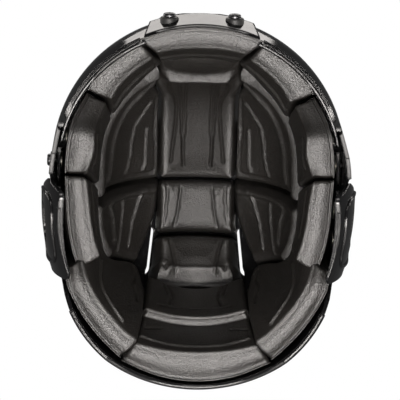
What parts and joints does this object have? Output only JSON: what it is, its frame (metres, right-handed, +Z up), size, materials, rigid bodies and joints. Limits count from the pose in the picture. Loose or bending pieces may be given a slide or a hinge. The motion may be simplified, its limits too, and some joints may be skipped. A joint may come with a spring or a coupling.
{
  "type": "ice hockey helmet",
  "caption": "Two-piece adjustable ice hockey helmet: hard shells slide on each other, with a moulded foam liner, ear guards and brow screws.",
  "frame": {"origin": "centre of the box's base, on the surface that the temple legs and the nape stand on", "axes": "+Z up as worn, -Y towards the brow, +X to the right of a viewer who looks along +Y"},
  "size_m": [0.232, 0.2788, 0.1682],
  "materials": {
    "shell_plastic": "gloss black moulded polyethylene",
    "liner_foam": "dark grey moulded foam with a fine leathery skin",
    "screw_steel": "black oxide steel",
    "nut_steel": "zinc plated steel",
    "washer_rubber": "matt black rubber"
  },
  "bodies": {
    "rear": {"rear_shell": "shell_plastic", "rear_pad": "liner_foam", "crown_mid_pad": "liner_foam", "crown_rear_pad": "liner_foam", "ear_pad_left": "liner_foam", "ear_pad_right": "liner_foam", "occipital_pad_left": "liner_foam", "occipital_pad_right": "liner_foam", "crown_rear_side_pad_left": "liner_foam", "crown_rear_side_pad_right": "liner_foam", "ear_guard_left": "shell_plastic", "ear_guard_right": "shell_plastic", "lock_screws": "screw_steel", "lock_washers": "nut_steel", "lock_nuts": "nut_steel", "guard_screws": "screw_steel", "guard_nuts": "nut_steel"},
    "front": {"front_shell": "shell_plastic", "brow_pad": "liner_foam", "crown_front_centre_pad": "liner_foam", "temple_pad_left": "liner_foam", "temple_pad_right": "liner_foam", "side_pad_left": "liner_foam", "side_pad_right": "liner_foam", "crown_front_side_pad_left": "liner_foam", "crown_front_side_pad_right": "liner_foam", "brow_screws": "screw_steel", "brow_washers": "washer_rubber", "brow_nuts": "nut_steel", "visor_nuts": "nut_steel"}
  },
  "joints": [
    {"name": "size_slide", "type": "slide", "parent": "rear", "child": "front", "axis": [0, -1, 0], "range_m": [0, 0.016]}
  ]
}
